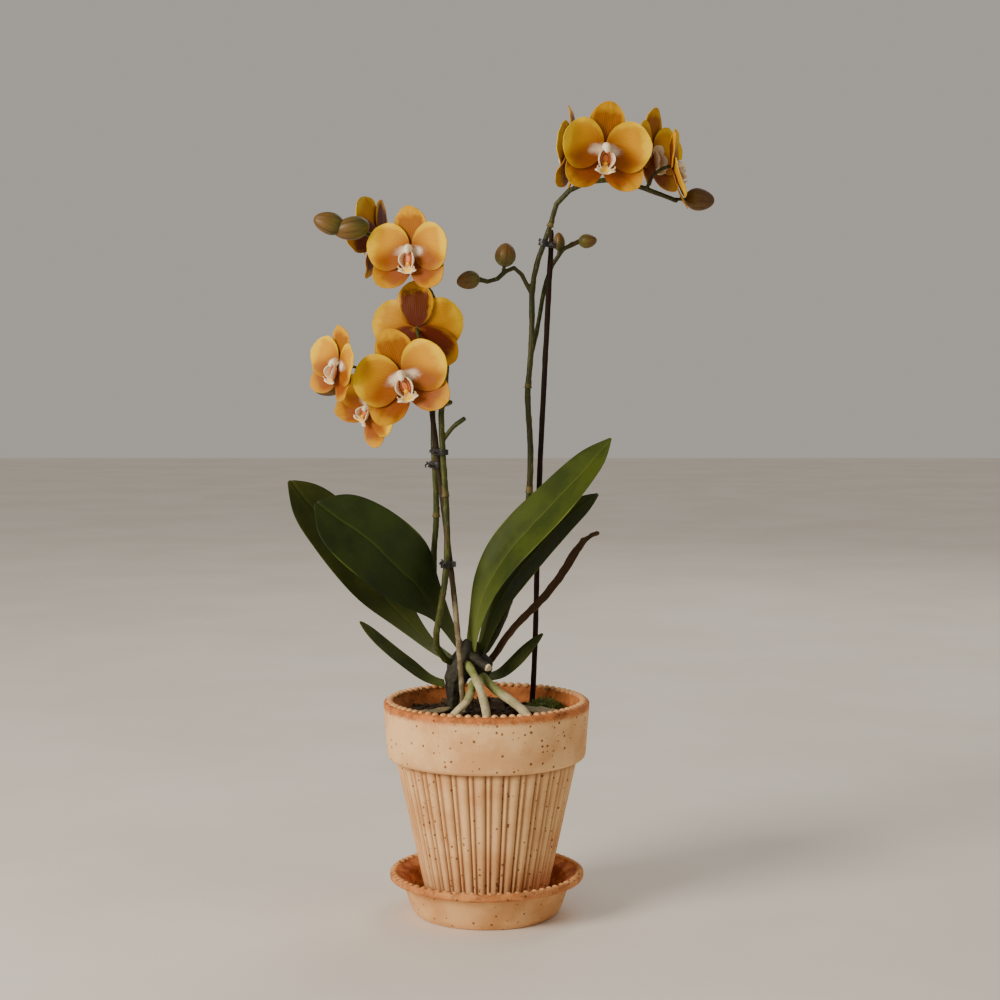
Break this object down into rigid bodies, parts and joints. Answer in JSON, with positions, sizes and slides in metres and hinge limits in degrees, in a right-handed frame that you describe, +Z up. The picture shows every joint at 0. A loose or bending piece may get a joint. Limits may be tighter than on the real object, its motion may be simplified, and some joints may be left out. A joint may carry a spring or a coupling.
{
  "type": "potted orchid",
  "caption": "Moth orchid in golden yellow bloom on three tied, staked stalks with strap leaves, roots and buds, in a fluted clay pot on its saucer.",
  "frame": {"origin": "centre of the saucer's flat underside", "axes": "+Z up, -Y towards the plant's front, +X to the right seen from the front"},
  "size_m": [0.2891, 0.14, 0.5468],
  "materials": {
    "pot_clay": "matt bare clay with a thin cream slip, speckled, orange where it is bare",
    "saucer_clay": "matt bare clay with a thin cream slip, orange inside",
    "bark_mix": "loose dark bark chips",
    "crown": "dull brown green",
    "root": "silvery cream velamen, greenish near the plant",
    "leaf": "smooth waxy satin",
    "withered_leaf": "dry, wrinkled, dull",
    "stalk": "smooth olive green",
    "stake": "dark stained bamboo, greyed near the soil",
    "tie": "black",
    "dry_leaf": "dry and papery",
    "moss": "short dull moss",
    "sepal": "satin, striped, maroon brown behind",
    "petal": "satin golden yellow",
    "lip": "cream white with an orange red throat"
  },
  "bodies": {
    "root": {"crown": "crown", "dry_leaf_front": "dry_leaf", "dry_leaf_left": "dry_leaf", "dry_leaf_right": "dry_leaf", "flower_10_lip": "lip", "flower_10_petals": "petal", "flower_10_sepals": "sepal", "flower_1_lip": "lip", "flower_1_petals": "petal", "flower_1_sepals": "sepal", "flower_2_lip": "lip", "flower_2_petals": "petal", "flower_2_sepals": "sepal", "flower_3_lip": "lip", "flower_3_petals": "petal", "flower_3_sepals": "sepal", "flower_4_lip": "lip", "flower_4_petals": "petal", "flower_4_sepals": "sepal", "flower_5_lip": "lip", "flower_5_petals": "petal", "flower_5_sepals": "sepal", "flower_6_lip": "lip", "flower_6_petals": "petal", "flower_6_sepals": "sepal", "flower_7_lip": "lip", "flower_7_petals": "petal", "flower_7_sepals": "sepal", "flower_8_lip": "lip", "flower_8_petals": "petal", "flower_8_sepals": "sepal", "flower_9_lip": "lip", "flower_9_petals": "petal", "flower_9_sepals": "sepal", "flower_stalk_left_back": "stalk", "flower_stalk_left_front": "stalk", "flower_stalk_right": "stalk", "growing_medium": "bark_mix", "leaf_left_back": "leaf", "leaf_left_front": "leaf", "leaf_right_back": "leaf", "leaf_right_front": "leaf", "leaf_small_left": "leaf", "leaf_small_right": "withered_leaf", "leaf_withered": "withered_leaf", "moss": "moss", "pot": "pot_clay", "root_front": "root", "root_left": "root", "root_right": "root", "saucer": "saucer_clay", "stake_left": "stake", "stake_right": "stake", "tie_left_back": "tie", "tie_left_high": "tie", "tie_left_low": "tie", "tie_right": "tie"}
  },
  "joints": []
}
